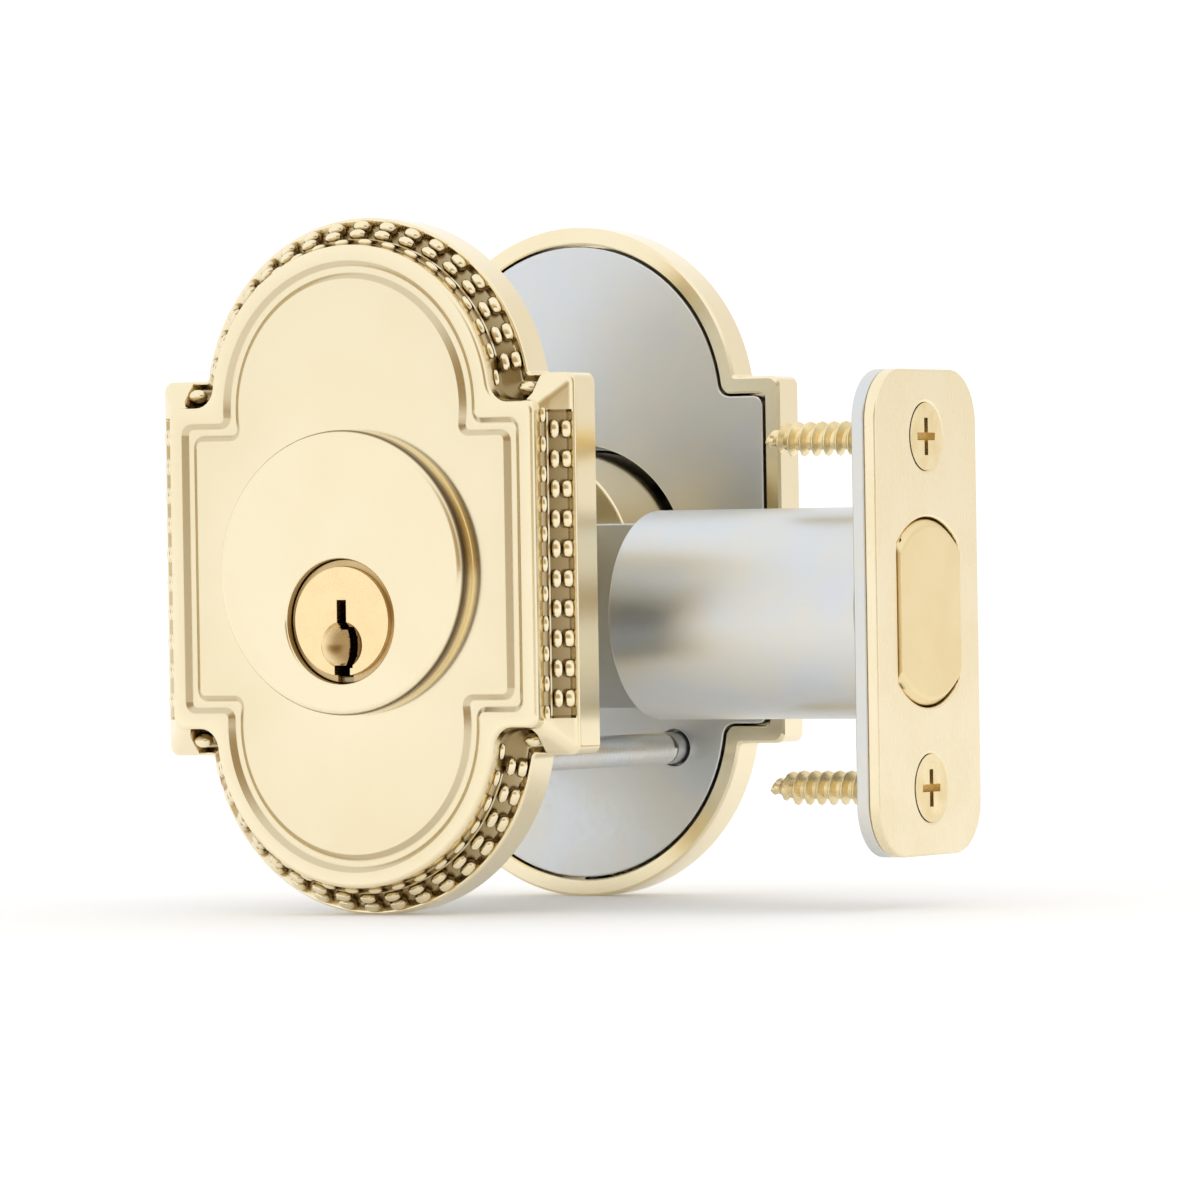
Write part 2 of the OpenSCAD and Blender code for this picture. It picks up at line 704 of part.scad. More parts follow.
module inside_escutcheon() {
    color(brass) inside_half() difference() {
        escutcheon();
        grub_place() bar(grub_r + run_clear, -1, wall + 1);
    }
}
module inside_cylinder() { color(brass) inside_half() cylinder_body(); }
module inside_plug() { color(gold) inside_half() plug(); }
module inside_key_pins() { color(gold) inside_half() key_pins(); }
module inside_driver_pins() { color(steel) inside_half() driver_pins(); }
module inside_pin_springs() { color(steel) inside_half() pin_springs(); }
module inside_chamber_cover() { color(gold) inside_half() chamber_cover(); }
module inside_plug_cap() { color(gold) inside_half() plug_cap(); }
module inside_cap_pin() { color(steel) inside_half() cap_pin(); }
module inside_tailpiece() { color(zinc) inside_half() rotate([0, 0, 180]) tailpiece(); }
module inside_ring_nut() { color(zinc) inside_half() ring_nut(inner_z - nut_t, inner_z); }
module base_plate() { color(zinc) inside_half() base_plate_shape(); }
module set_screw() { color(steel) inside_half() grub_place() grub_shape(); }
module through_bolts() { color(steel) inside_half() through_bolt_shape(); }

module faceplate() { color(brass) faceplate_shape(); }
module faceplate_screws() { color(gold) faceplate_screw_shape(); }
module back_plate() {
    color(zinc) edge_plate(barrel_front, back_front, 3 * fit_clear, face_head_r - face_t + 2 * fit_clear);
}
module barrel() { color(zinc) barrel_shape(); }
module bolt() { color(gold) bolt_shape(); }
module bolt_rod() { color(steel) along_x() bar(rod_r, rod_start + 0.3, bolt_tip - rod_end_gap - 0.3); }
module bolt_slide() { color(zinc) slide_shape(); }
module slide_pins() {
    color(steel) for (z = slide_pin_z) translate([pin_x, 0, z]) along_y()
        bar(slide_pin_r, -bolt_t / 2 + 0.1, bolt_t / 2 - 0.1);
}
module hub() { color(zinc) hub_shape(); }
module crank_pin() { color(steel) crank_pin_shape(); }
module hub_bushes() { color("#e9e4d4") hub_bush_shape(); }
module case_channel() { color(zinc) case_channel_shape(); }
module case_cover() { color(zinc) case_plate(); }
module case_rivets() { color(steel) case_rivet_shape(); }

outside_escutcheon();
outside_cylinder();
outside_plug();
outside_key_pins();
outside_driver_pins();
outside_pin_springs();
outside_chamber_cover();
outside_plug_cap();
outside_cap_pin();
outside_tailpiece();
outside_ring_nut();
mounting_plate();
mounting_posts();
inside_escutcheon();
inside_cylinder();
inside_plug();
inside_key_pins();
inside_driver_pins();
inside_pin_springs();
inside_chamber_cover();
inside_plug_cap();
inside_cap_pin();
inside_tailpiece();
inside_ring_nut();
base_plate();
set_screw();
through_bolts();
faceplate();
faceplate_screws();
back_plate();
barrel();
bolt();
bolt_rod();
bolt_slide();
slide_pins();
hub();
crank_pin();
hub_bushes();
case_channel();
case_cover();
case_rivets();
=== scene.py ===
"""A double-cylinder deadbolt lock as it sits in a door: two brass trims with the bolt unit between them."""
import json
import math

import bmesh
import bpy
from mathutils import Matrix, Quaternion, Vector

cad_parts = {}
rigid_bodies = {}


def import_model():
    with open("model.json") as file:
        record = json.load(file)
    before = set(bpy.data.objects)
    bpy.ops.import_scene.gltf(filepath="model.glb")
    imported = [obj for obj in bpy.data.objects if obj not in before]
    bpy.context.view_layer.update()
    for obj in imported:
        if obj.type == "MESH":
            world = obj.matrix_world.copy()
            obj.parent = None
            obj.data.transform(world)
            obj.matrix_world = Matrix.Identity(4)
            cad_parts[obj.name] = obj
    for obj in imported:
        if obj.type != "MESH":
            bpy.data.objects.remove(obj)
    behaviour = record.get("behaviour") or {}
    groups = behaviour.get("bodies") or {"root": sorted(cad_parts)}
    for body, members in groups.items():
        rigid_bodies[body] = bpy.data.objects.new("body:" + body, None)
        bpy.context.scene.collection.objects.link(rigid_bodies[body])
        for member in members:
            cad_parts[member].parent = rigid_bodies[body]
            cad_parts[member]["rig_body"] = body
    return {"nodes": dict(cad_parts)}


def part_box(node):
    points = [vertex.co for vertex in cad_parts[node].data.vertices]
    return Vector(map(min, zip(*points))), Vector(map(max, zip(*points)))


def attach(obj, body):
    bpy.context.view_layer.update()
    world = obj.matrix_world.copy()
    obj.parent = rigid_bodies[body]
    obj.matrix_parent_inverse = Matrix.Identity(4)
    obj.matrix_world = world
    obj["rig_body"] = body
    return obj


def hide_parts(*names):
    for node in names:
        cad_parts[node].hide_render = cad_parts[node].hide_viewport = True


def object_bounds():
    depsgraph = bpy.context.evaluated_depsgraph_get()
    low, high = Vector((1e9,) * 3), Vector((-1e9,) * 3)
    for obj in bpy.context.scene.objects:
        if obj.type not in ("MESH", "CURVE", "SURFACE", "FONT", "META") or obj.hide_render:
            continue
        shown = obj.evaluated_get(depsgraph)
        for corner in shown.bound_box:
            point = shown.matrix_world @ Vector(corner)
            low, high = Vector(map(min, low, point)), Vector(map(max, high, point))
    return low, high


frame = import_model()
cad_low, cad_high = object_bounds()


# ---------- escutcheons ----------
# Cast brass trims, bright polished and lacquered. Each is a hollow plate with a raised face, an engraved
# channel inside its edge and, on the slope below, three rows of beads: two side by side in a trough and a
# staggered row of small ones above. Nothing shows on the face; the cylinder's nut and plates behind hold it.

MM = 0.001
trim_low, trim_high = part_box("outside_escutcheon")
collar_low, collar_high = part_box("outside_cylinder")
door_half = -trim_high.y / MM
plate_up = (trim_low.z + trim_high.z) / 2 / MM     # middle of the trim above the plugs' axis
collar_up = (collar_low.z + collar_high.z) / 2 / MM
band_w = 3.25                                      # from the face's edge to the rim's edge
lobe_r = 19.25
lobe_up = (trim_high.z - trim_low.z) / 2 / MM - band_w - lobe_r
ear_w = trim_high.x / MM - band_w
ear_h = 19.1
rim_t = 5
face_out = -(trim_low.y - trim_high.y) / MM
skin = 2.05                                        # wall of the casting
rim_skin = 0.45                                    # wall under the bead trough
hole_r = 14.35                                     # hole that the cylinder passes through
corner_r = 1.2
root_r, least_root_r = 2.5, 0.6                    # fillet between ear and lobe, at the face and outside it
block_low, block_in, block_end = 18.0, 23.8, 0.3   # where the plain corner blocks stop
block_share = 0.68                                 # most of an ear's top that a pocket takes


def on_door(side):
    """From a trim's own millimetres (across, up, out of the door) to the lock's metres."""
    out = Vector((0, side, 0))
    across = Vector((-side, 0, 0))
    turned = Matrix((across, (0, 0, 1), out)).transposed().to_4x4()
    return Matrix.Translation(out * door_half * MM) @ turned @ Matrix.Scale(MM, 4)


def arc(x, up, r, start, end, steps):
    angles = [math.radians(start + (end - start) * i / steps) for i in range(steps + 1)]
    return [(x + r * math.cos(a), up + r * math.sin(a)) for a in angles]


def outline(off, corner, root):
    """The plate's outline grown by off from the face's edge, with rounded ear corners and lobe roots."""
    w, h, r = ear_w + off, ear_h + off, lobe_r + off
    rise = h + root - lobe_up
    reach = math.sqrt((r + root) ** 2 - rise ** 2)
    lean = math.degrees(math.atan2(rise, reach))
    side_end = min(block_low, h - corner - 0.1)
    top_end = min(block_in, reach + block_share * (w - corner - reach))
    quarter = [(w, side_end - block_end), (w, side_end)]
    quarter += arc(w - corner, h - corner, corner, 0, 90, 5)
    quarter += [(top_end + block_end, h), (top_end, h)]
    quarter += arc(reach, h + root, root, -90, lean - 180, 6)
    quarter += arc(0, lobe_up, r, lean, 90, 36)[1:]
    back = quarter[-2::-1]
    return (quarter + [(-x, y) for x, y in back] + [(-x, -y) for x, y in quarter]
            + [(x, -y) for x, y in back])


PLAIN, BEADED, POCKET = 0, 1, 2                    # what the band is at each point of the outline
quarter_band = [BEADED] + [PLAIN] * 8 + [POCKET] * 11 + [BEADED] * 33
band = (quarter_band + quarter_band[-2::-1]) * 2


def fillet(off):
    return max(root_r - off, least_root_r)


def level(off, out, corner=corner_r, root=None):
    """One ring of the casting at a height out of the door."""
    root = fillet(off) if root is None else root
    return [Vector((x, y + plate_up, out)) for x, y in outline(off, corner, root)]


slope_top, slope_run, slope_drop = (0.1, 7.8), 0.732, 0.683   # the band's line, and its direction


def band_level(down, *sinks):
    """A ring of the sloping band, down mm below its top edge and sunk by what the band is at each point."""
    kinds = []
    for sink in sinks:
        off = slope_top[0] + slope_run * down - slope_drop * sink
        kinds.append(level(off, slope_top[1] - slope_drop * down - slope_run * sink))
    return [kinds[kind][i] for i, kind in enumerate(band)]


def ring_of(bm, places):
    ring = [bm.verts.new(p) for p in places]
    for a, b in zip(ring, ring[1:] + ring[:1]):
        bm.edges.new((a, b))
    return ring


def ring_edges(bm, ring):
    return [bm.edges.get(pair) for pair in zip(ring, ring[1:] + ring[:1])]


def carried_on(bm, ring, places, recess=(0, 0, 0)):
    """Extrudes a ring of vertices to new places, and marks how much painted shade they carry in the hollows.
    """
    made = bmesh.ops.extrude_edge_only(bm, edges=ring_edges(bm, ring))["geom"]
    new = {v for v in made if isinstance(v, bmesh.types.BMVert)}
    following = [next(e.other_vert(v) for e in v.link_edges if e.other_vert(v) in new) for v in ring]
    deep = bm.verts.layers.float["recess"]
    for i, (v, place) in enumerate(zip(following, places)):
        v.co = place
        v[deep] = recess[band[i]] if len(places) == len(band) else 0
    return following


def circle_at(r, up, out, steps=96):
    return [Vector((x, y, out)) for x, y in arc(0, up, r, 0, 360, steps)[:-1]]


back_edge = 0.2                                    # bevels of the rim's back edge, inside and outside
back_bevel = 0.3
lip_r, edge_r = 0.35, 0.5                          # roundings of the rim's front and of the face's edge
groove = 0.55                                      # depth of the engraved channel
groove_in, groove_w = 2.2, 1.45                    # where the middles of its walls are
groove_slope, groove_r = 0.27, 1
# Amounts of painted brown shade on the engraved channel's walls and on its floor.
wall_shade, floor_shade = 0.42, 0.08

# The band from the rim up to the face. Each row is how far down the slope it is, how deep it is sunk in the
# plain blocks, the bead trough and the pockets, and how much painted brown shade darkens each of the three
# there.
band_rows = (
    (4.0, (-0.02, 0, 0.05), (0, 0, 0.2)),
    (3.86, (-0.06, 0.15, 0.8), (0, 0, 0.4)),
    (3.7, (-0.1, 0.75, 1.0), (0, 0.15, 0.7)),
    (3.45, (-0.12, 1.0, 1.1), (0, 0.8, 1)),
    (1.35, (-0.12, 1.0, 1.15), (0, 1, 1)),
    (1.1, (-0.1, 0.25, 1.1), (0, 0.4, 1)),
    (0.88, (-0.08, 0.15, 1.0), (0, 0.1, 1)),
    (0.74, (-0.06, 0.6, 0.95), (0, 0.85, 1)),
    (0.2, (-0.02, 0.55, 0.7), (0, 0.6, 0.9)),
    (0.04, (0, 0, 0), (0, 0.1, 0.3)),
)
# Steps across a wall of the channel, and the share of its depth there.
groove_wall = ((1.5, 0), (1, 0.05), (-1, 0.94), (-1.7, 1))


def quarter_turn():
    """Steps of a rounding: how far it has turned in and how far it has risen, as shares of its radius."""
    for degrees in range(0, 91, 18):
        angle = math.radians(degrees)
        yield 1 - math.cos(angle), 1 - math.sin(angle)


def casting(bm):
    """The hollow plate, ring by ring from the inside of its face round the rim to the collar's hole."""
    inside = face_out - skin
    face_in = 0.25 - skin
    rim_in = band_w - skin
    first = ring_of(bm, level(face_in, inside))
    ring = carried_on(bm, first, level(face_in, rim_t - rim_skin))
    ring = carried_on(bm, ring, level(rim_in, rim_t - rim_skin))
    for off, out in ((rim_in, back_edge), (rim_in + back_edge, 0),
                     (band_w - back_bevel, 0), (band_w, back_bevel)):
        ring = carried_on(bm, ring, level(off, out, corner_r + min(0, off - band_w + back_bevel) * 0.2))
    for turned, short in quarter_turn():
        places = level(band_w - lip_r * turned, rim_t - lip_r * short, corner_r - lip_r * turned)
        ring = carried_on(bm, ring, places)
    for down, sinks, recess in band_rows:
        ring = carried_on(bm, ring, band_level(down, *sinks), recess)
    for turned, short in quarter_turn():
        ring = carried_on(bm, ring, level(-edge_r * turned, face_out - edge_r * short))
    far_wall = [(-step, drop) for step, drop in reversed(groove_wall)]
    for middle, wall in ((-groove_in, groove_wall), (-groove_in - groove_w, far_wall)):
        for step, drop in wall:
            swing = step * groove_slope
            places = level(middle + swing, face_out - drop * groove, groove_r + swing, groove_r - swing)
            # Painted shade: the channel's walls get more of it than its floor.
            shade_brown = wall_shade if 0 < drop < 1 else floor_shade
            ring = carried_on(bm, ring, places, (shade_brown, shade_brown, shade_brown))
    hole = ring_of(bm, circle_at(hole_r, collar_up, face_out))
    bmesh.ops.triangle_fill(bm, edges=ring_edges(bm, ring) + ring_edges(bm, hole), use_beauty=True)
    back = carried_on(bm, hole, circle_at(hole_r, collar_up, inside))
    bmesh.ops.triangle_fill(bm, edges=ring_edges(bm, back) + ring_edges(bm, first), use_beauty=True)


ear_beads, ear_pitch = 10, 3.49
lobe_beads, lobe_pitch, lobe_start = 17, 9.5, 14   # pitch and start in degrees
outer_bead = (3.2, 0.5, 1.12, 0.7, 0.8)            # down the slope, sunk, and its three half sizes
inner_bead = (1.85, 0.45, 1.12, 0.6, 0.75)
small_bead = (0.45, 0.25, 0.97, 0.38, 0.45)
pocket_bead = (2.1, 0.3, 1.15, 0.75, 0.8)
pocket_x = 22.8


def stations(half_step):
    """Where beads sit: a point on the face's edge and the direction away from it."""
    found = []
    for side in (1, -1):
        for i in range(ear_beads + half_step):
            found.append(((side * ear_w, (i - (ear_beads - 1 + half_step) / 2) * ear_pitch), (side, 0)))
        for i in range(lobe_beads + half_step):
            a = math.radians(lobe_start + (i - half_step / 2) * lobe_pitch)
            away = (math.cos(a), side * math.sin(a))
            found.append(((lobe_r * away[0], side * lobe_up + lobe_r * away[1]), away))
    return found


def bead_place(point, away, down, sink, half_long, half_wide, half_tall):
    """Matrix of a bead that lies on the slope, down mm below its top edge and sunk under its line."""
    out = Vector((away[0], away[1], 0))
    along = Vector((-away[1], away[0], 0))
    lift = Vector((0, 0, 1))
    across = out * slope_run - lift * slope_drop
    proud = out * slope_drop + lift * slope_run
    centre = Vector((point[0], point[1] + plate_up, 0)) + out * slope_top[0] + lift * slope_top[1]
    centre += across * down - proud * sink
    shaped = Matrix((across * half_wide, proud * half_tall, along * half_long)).transposed()
    return Matrix.Translation(centre) @ shaped.to_4x4()


def add_beads(bm):
    """Beads, a little squared and with painted shade round their feet, copied to their places."""
    pattern = bmesh.ops.create_uvsphere(bm, u_segments=10, v_segments=7, radius=1)["verts"]
    deep = bm.verts.layers.float["recess"]
    for v in pattern:
        v.co = Vector([math.copysign(abs(c) ** 0.82, c) for c in v.co])
        # Painted shade: each bead's lower skirt is darkened and its top left bright.
        v[deep] = min(1, max(0, 1 - 1.3 * v.co.y))
    shape = pattern + list({f for v in pattern for f in v.link_faces})
    places = []
    for point, away in stations(0):
        places.append(bead_place(point, away, *outer_bead))
        places.append(bead_place(point, away, *inner_bead))
    for point, away in stations(1):
        places.append(bead_place(point, away, *small_bead))
    for sx in (1, -1):
        for sy in (1, -1):
            places.append(bead_place((sx * pocket_x, sy * ear_h), (0, sy), *pocket_bead))
    for place in places:
        copied = bmesh.ops.duplicate(bm, geom=shape)["geom"]
        bmesh.ops.transform(bm, matrix=place, verts=[v for v in copied if isinstance(v, bmesh.types.BMVert)])
    bmesh.ops.delete(bm, geom=pattern, context="VERTS")


def smooth_shaded(bm, sharp_over):
    """Smooth faces, with the edges sharper than sharp_over degrees kept sharp."""
    for f in bm.faces:
        f.smooth = True
    for e in bm.edges:
        e.smooth = e.calc_face_angle(0) < math.radians(sharp_over)


def piece_from(name, bm, material, node):
    """Puts a finished bmesh in the scene in a CAD node's stead, on that node's body."""
    mesh = bpy.data.meshes.new(name)
    bm.to_mesh(mesh)
    bm.free()
    mesh.materials.append(material)
    obj = bpy.data.objects.new(name, mesh)
    bpy.context.scene.collection.objects.link(obj)
    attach(obj, frame["nodes"][node]["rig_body"])
    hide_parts(node)
    return obj


class Nodes:
    """A node tree whose sockets combine with Python's operators."""

    def __init__(self, tree):
        self.tree = tree

    def node(self, kind, settings, inputs, output=0):
        """Any node: its settings first, then its sockets' values or links."""
        made = self.tree.nodes.new(kind)
        for name, value in settings.items():
            setattr(made, name, value)
        for socket, value in inputs.items():
            self.join(made.inputs[socket], value)
        return Link(self, made.outputs[output])

    def join(self, socket, value):
        """Links a socket, or sets its constant."""
        if isinstance(value, Link):
            self.tree.links.new(value.socket, socket)
        elif socket.type == "RGBA":
            socket.default_value = (*value, 1)
        else:
            socket.default_value = value

    def blend(self, factor, a, b):
        """Colour a where factor is 0 and b where it is 1."""
        return self.node("ShaderNodeMix", {"data_type": "RGBA"}, {"Factor": factor, 6: a, 7: b}, 2)


class Finish(Nodes):
    """A material, made on its Principled shader, with the piece's own coordinates as its place."""

    def __init__(self, name, **constants):
        self.material = bpy.data.materials.new(name)
        self.material.use_nodes = True
        super().__init__(self.material.node_tree)
        self.shader = self.tree.nodes["Principled BSDF"]
        self.feed(**constants)
        self.place = self.node("ShaderNodeTexCoord", {}, {}, "Object")

    def feed(self, **values):
        """Gives the shader's sockets constants or links."""
        for socket, value in values.items():
            self.join(self.shader.inputs[socket.replace("_", " ")], value)

    def noise(self, size, detail=2, stretch=(1, 1, 1)):
        """Noise whose features are about size mm, stretched along the axes."""
        scale = [1 / (size * MM * s) for s in stretch]
        mapped = self.node("ShaderNodeMapping", {}, {"Vector": self.place, "Scale": scale})
        return self.node("ShaderNodeTexNoise", {}, {"Vector": mapped, "Scale": 1, "Detail": detail})

    def bumps(self, height, distance):
        """Feeds the normal from a height, where distance mm is the height of 1."""
        self.feed(Normal=self.node("ShaderNodeBump", {}, {
            "Height": height, "Distance": distance * MM, "Strength": 1}))


class Link:
    """A socket's output; an expression on it adds Math nodes."""

    def __init__(self, finish, socket):
        self.finish = finish
        self.socket = socket

    def math(self, operation, *values):
        """The result of a Math node on some values."""
        return self.finish.node("ShaderNodeMath", {"operation": operation}, dict(enumerate(values)))

    def __add__(self, other):
        return self.math("ADD", self, other)

    def __radd__(self, other):
        return self.math("ADD", other, self)

    def __sub__(self, other):
        return self.math("SUBTRACT", self, other)

    def __rsub__(self, other):
        return self.math("SUBTRACT", other, self)

    def __mul__(self, other):
        return self.math("MULTIPLY", self, other)

    def __rmul__(self, other):
        return self.math("MULTIPLY", other, self)

    def __truediv__(self, other):
        return self.math("DIVIDE", self, other)

    def spread(self, low, high):
        """0 below low, 1 above high, smooth between."""
        return self.finish.node("ShaderNodeMapRange", {"interpolation_type": "SMOOTHSTEP"}, {
            "Value": self, "From Min": low, "From Max": high})


def polished_brass(name, shade_mask, shade_brown):
    """Bright brass under clear lacquer, darkened to a painted brown shade where the mask is 1, with faint
    polishing marks.
    """
    brass = Finish(name, Metallic=1, Coat_Weight=0.3, Coat_Roughness=0.12)
    cloud = brass.noise(16, 2)
    wipe = brass.noise(2, 1, (1, 1, 7))
    tone = brass.blend(cloud.spread(0.35, 0.65), (0.945, 0.835, 0.59), (0.925, 0.81, 0.555))
    recess = shade_mask(brass)
    # The brown mixed in here is painted shade, not a colour of the brass.
    brass.feed(Base_Color=brass.blend(recess * 0.85, tone, shade_brown),
               Roughness=0.12 + 0.03 * wipe + 0.04 * cloud + recess * 0.12)
    brass.bumps(brass.noise(6, 1), 0.0012)
    return brass.material


def painted_hollow_shade(brass):
    """The painted shade marked on the casting while it was made: in the bead trough, the pockets, the channel
    and round the beads' feet.
    """
    return brass.node("ShaderNodeAttribute", {"attribute_name": "recess"}, {}, "Fac")


# The trims' hollows get a painted brown shade.
brass_bright = polished_brass("polished_brass", painted_hollow_shade, (0.22, 0.135, 0.025))
for name, side in (("outside", -1), ("inside", 1)):
    bm = bmesh.new()
    bm.verts.layers.float.new("recess")
    casting(bm)
    add_beads(bm)
    bmesh.ops.recalc_face_normals(bm, faces=bm.faces)
    bmesh.ops.transform(bm, matrix=on_door(side), verts=bm.verts)
    smooth_shaded(bm, 35)
    trim = piece_from(name + "_trim", bm, brass_bright, name + "_escutcheon")
    trim.modifiers.new("flat_faces", "WEIGHTED_NORMAL").keep_sharp = True


# ---------- cylinders ----------
# Brass bodies whose round collars are turned, eased at the edge and polished like the trims they stand
# proud of. A zinc-plated nut behind the face clamps each body, and a strip closes its spring holes.

def eased(name, node, material, width, segments=2, sharp_over=30):
    """A CAD piece with its facets joined and its sharp edges eased by width mm."""
    bm = bmesh.new()
    bm.from_mesh(frame["nodes"][node].data)
    bmesh.ops.remove_doubles(bm, verts=bm.verts, dist=0.002 * MM)
    bmesh.ops.dissolve_limit(bm, angle_limit=math.radians(0.6), verts=bm.verts, edges=bm.edges)
    smooth_shaded(bm, sharp_over)
    obj = piece_from(name, bm, material, node)
    ease = obj.modifiers.new("eased", "BEVEL")
    ease.width, ease.segments = width * MM, segments
    ease.limit_method, ease.angle_limit = "ANGLE", math.radians(sharp_over)
    ease.use_clamp_overlap = False
    ease.harden_normals = True
    return obj


collar_r = (collar_high.x - collar_low.x) / 2 / MM
collar_out = -collar_low.y / MM
bore_r = 7.4                                       # counterbore that the plug's head sits in


def axes(finish):
    """Across, out and up: mm from the lock's middle plane, the door's middle and the plugs' axis."""
    parts = finish.node("ShaderNodeSeparateXYZ", {}, {"Vector": finish.place})
    x, y, z = (Link(finish, parts.socket.node.outputs[i]) / MM for i in range(3))
    return x, y.math("ABSOLUTE", y), z


def distance(x, z):
    """How far from an axis along y."""
    square = x * x + z * z
    return square.math("SQRT", square)


def collar_painted_shade(brass):
    """Painted shade on the collar's side, darkest at the edge, and in the counterbore that the plug sits in.
    """
    x, out, z = axes(brass)
    side = distance(x, z - collar_up).spread(collar_r - 0.3, collar_r - 0.05)
    bore = 1 - distance(x, z).spread(bore_r - 0.1, bore_r + 0.1)
    deep = 1 - out.spread(collar_out - 0.7, collar_out)
    return side * out.spread(collar_out - 2.6, collar_out - 0.9) * 1.08 + bore * deep * 0.8


# Near-black brown painted shade on the collars' sides and in their counterbores.
brass_collar = polished_brass("collar_brass", collar_painted_shade, (0.07, 0.035, 0.003))
for name in ("outside", "inside"):
    eased(name + "_collar", name + "_cylinder", brass_collar, 0.35, 3)


def zinc():
    """Bright zinc plate on steel: grey-white with a faint blue and straw bloom."""
    plate = Finish("zinc_steel", Metallic=1)
    bloom = plate.noise(9, 3).spread(0.3, 0.7)
    grain = plate.noise(0.5, 2, (1, 8, 1))
    plate.feed(Base_Color=plate.blend(bloom, (0.70, 0.73, 0.76), (0.76, 0.75, 0.70)),
               Roughness=0.26 + 0.14 * grain + 0.06 * bloom)
    plate.bumps(plate.noise(0.25, 3), 0.003)
    return plate.material


def raw_brass():
    """Brass as it comes off the lathe or the saw, dull and a little brown."""
    brass = Finish("raw_brass", Metallic=1)
    cloud = brass.noise(5, 3).spread(0.3, 0.7)
    brass.feed(Base_Color=brass.blend(cloud, (0.80, 0.62, 0.33), (0.68, 0.50, 0.25)),
               Roughness=0.34 + 0.1 * brass.noise(0.6, 2, (6, 1, 6)))
    brass.bumps(brass.noise(0.4, 2, (8, 1, 8)), 0.002)
    return brass.material


zinc_plate = zinc()
brass_raw = raw_brass()
for name in ("outside", "inside"):
    eased(name + "_nut", name + "_ring_nut", zinc_plate, 0.2)
    eased(name + "_spring_strip", name + "_chamber_cover", brass_raw, 0.1)


# ---------- plugs ----------
# Turned brass plugs with the key slot broached through them and the face finished in fine rings.
# A cap screwed on the rear end holds each in its body, and a pin keeps the cap from unscrewing.

disc_out = -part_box("outside_plug")[0].y / MM       # front of the plug's disc
ring_pitch = 0.22


def turned_brass():
    """Satin brass faced on the lathe, with fine rings about the plug's axis and a painted brown shade where
    it is sunk.
    """
    brass = Finish("plug_brass", Metallic=1, Coat_Weight=0.15, Coat_Roughness=0.2)
    x, out, z = axes(brass)
    turns = distance(x, z) * (2 * math.pi / ring_pitch)
    rings = turns.math("SINE", turns)
    cloud = brass.noise(3, 3).spread(0.3, 0.7)
    face = brass.blend(cloud, (0.985, 0.785, 0.45), (0.96, 0.75, 0.42))
    # Painted shade: everything sunk below the disc's front, such as the key slot, is darkened to brown.
    sunk_shade = 1 - out.spread(disc_out - 1.3, disc_out - 0.1)
    brass.feed(Base_Color=brass.blend(sunk_shade * 0.85, face, (0.30, 0.17, 0.05)),
               Roughness=0.24 + 0.03 * rings + 0.06 * cloud)
    brass.bumps(rings, 0.0008)
    return brass.material


brass_turned = turned_brass()
for name in ("outside", "inside"):
    eased(name + "_keyway_plug", name + "_plug", brass_turned, 0.07)
    eased(name + "_rear_cap", name + "_plug_cap", brass_raw, 0.15)


# ---------- pins and springs ----------
# Pin tumblers: brass key pins with coned ends, steel driver pins with a waist, and wound steel springs over
# them. They stand loose in drilled holes. They keep their CAD shapes, and so does the pin in each rear cap.

def ground_steel(name, colour, roughness):
    """Hard steel, ground or drawn: fine lines round or along it and a slightly blue grey."""
    steel = Finish(name, Metallic=1)
    lines = steel.noise(0.35, 2, (10, 1, 10))
    dull = steel.noise(4, 3).spread(0.3, 0.7)
    darker = tuple(c * 0.85 for c in colour)
    steel.feed(Base_Color=steel.blend(dull, colour, darker), Roughness=roughness + 0.1 * lines + 0.06 * dull)
    steel.bumps(lines, 0.0015)
    return steel.material


def refinished(node, material):
    """Keeps a CAD piece's own shape and gives it a worked finish."""
    for holder in frame["nodes"][node].material_slots:
        holder.material = material


steel = ground_steel("steel", (0.60, 0.61, 0.63), 0.24)
wire = ground_steel("spring_steel", (0.48, 0.49, 0.51), 0.3)
for name in ("outside", "inside"):
    refinished(name + "_key_pins", brass_raw)
    refinished(name + "_driver_pins", steel)
    refinished(name + "_pin_springs", wire)
    refinished(name + "_cap_pin", steel)


# ---------- mounting ----------
# Zinc-plated steel plates behind both trims, with posts riveted to the outside one. Two machine screws
# run from the inside plate into the posts, and a small set screw holds the inside trim on its plate.

eased("outside_plate", "mounting_plate", zinc_plate, 0.25)
eased("posts", "mounting_posts", zinc_plate, 0.2)
eased("inside_plate", "base_plate", zinc_plate, 0.25)
eased("trim_set_screw", "set_screw", steel, 0.1)


def thread(bm, crest, core, pitch, length, taper=0, steps=14):
    """A closed screw thread from z = 0 down, as one saw-toothed line spun a turn while it drops a pitch."""
    line = [(core, 0)]
    for turn in range(int(length / pitch)):
        for radius, share in ((core, 0.3), (crest, 0.6), (crest, 0.7), (core, 1)):
            line.append((radius, -(turn + share) * pitch))
    before = set(bm.verts)
    verts = [bm.verts.new((r, 0, z)) for r, z in line]
    edges = [bm.edges.new(pair) for pair in zip(verts, verts[1:])]
    bmesh.ops.spin(bm, geom=verts + edges, cent=(0, 0, 0), axis=(0, 0, 1), angle=2 * math.pi, steps=steps,
                   dvec=(0, 0, -pitch / steps), use_merge=False)
    made = [v for v in bm.verts if v not in before]
    bmesh.ops.remove_doubles(bm, verts=made, dist=0.002)
    made = [v for v in bm.verts if v not in before]
    bmesh.ops.holes_fill(bm, edges=list({e for v in made for e in v.link_edges if e.is_boundary}))
    if taper:
        for v in made:
            narrow = min(1, max(0.05, (v.co.z + length + pitch) / taper))
            v.co.x *= narrow
            v.co.y *= narrow
    return made


